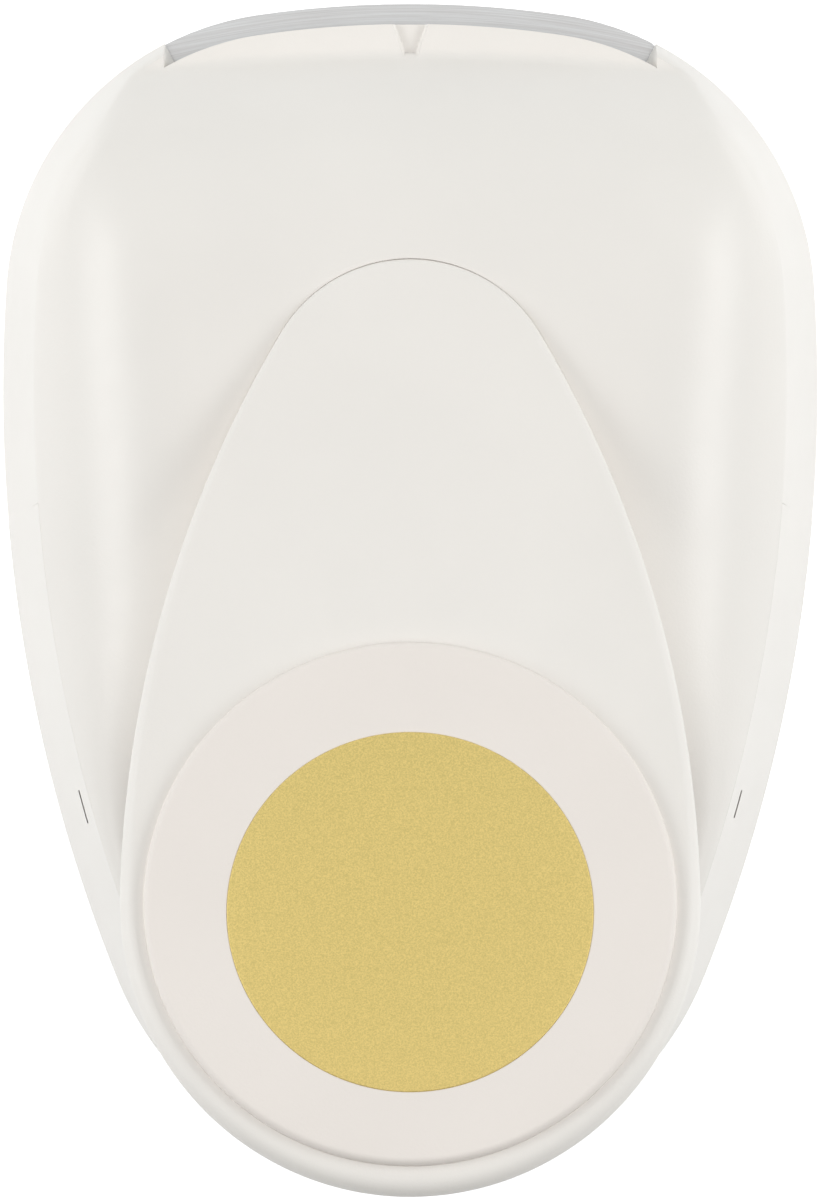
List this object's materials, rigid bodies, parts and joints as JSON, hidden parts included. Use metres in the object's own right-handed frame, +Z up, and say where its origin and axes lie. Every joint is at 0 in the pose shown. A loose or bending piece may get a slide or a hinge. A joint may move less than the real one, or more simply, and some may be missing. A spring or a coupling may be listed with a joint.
{
  "type": "circle punch",
  "caption": "Palm-press paper punch with a tilted lever, a paper slot along its front half, a round cutter on sprung posts and a chute through the base.",
  "frame": {"origin": "centre of the underside of the base, at the middle of the bounding box", "axes": "+Z up; +Y from the paper slot to the hand end of the lever; +X across"},
  "size_m": [0.1, 0.144, 0.0648],
  "materials": {
    "body_plastic": "satin moulded plastic with a fine grain",
    "pad_plastic": "matt moulded plastic with a fine grain",
    "gold_disc": "matt gold sheet",
    "die_steel": "ground steel plate",
    "cutter_steel": "hardened and ground",
    "cast_metal": "grey zinc casting",
    "arm_steel": "zinc-plated folded sheet",
    "spring_steel": "drawn spring wire",
    "screw_steel": "zinc-plated",
    "bush_plastic": "dark grey bearing plastic"
  },
  "bodies": {
    "base": {"base_shell": "body_plastic", "upper_housing": "body_plastic", "die_plate": "die_steel", "guide_block": "cast_metal", "die_screws": "screw_steel", "die_mount_screws": "screw_steel", "guide_screws": "screw_steel", "housing_screws": "screw_steel", "guide_post_left": "cutter_steel", "guide_post_right": "cutter_steel", "post_clips": "spring_steel", "pivot_pin": "cutter_steel", "pivot_clips": "spring_steel", "return_spring_left": "spring_steel", "return_spring_right": "spring_steel"},
    "cutter": {"cutter": "cutter_steel", "cutter_carrier": "cast_metal", "carrier_screws": "screw_steel", "wear_plate": "cutter_steel"},
    "lever": {"lever_shell": "body_plastic", "lever_arm": "arm_steel", "press_shoe": "bush_plastic", "shoe_screws": "screw_steel", "lever_screws": "screw_steel", "pivot_bushes": "bush_plastic", "pad_cap": "pad_plastic", "pad_disc": "gold_disc"}
  },
  "joints": [
    {"name": "lever_hinge", "type": "hinge", "parent": "base", "child": "lever", "pos_m": [0, -0.051, 0.024], "axis": [-1, 0, 0], "range_deg": [0, 12], "stiffness_Nm_per_rad": 1.53, "springref_deg": -14.61},
    {"name": "cutter_slide", "type": "slide", "parent": "base", "child": "cutter", "axis": [0, 0, -1], "range_m": [0, 0.0041], "deforming": ["return_spring_left", "return_spring_right"]}
  ],
  "couplings": [
    {"joint": "cutter_slide", "follows": "lever_hinge", "m_per_rad": 0.019569}
  ]
}
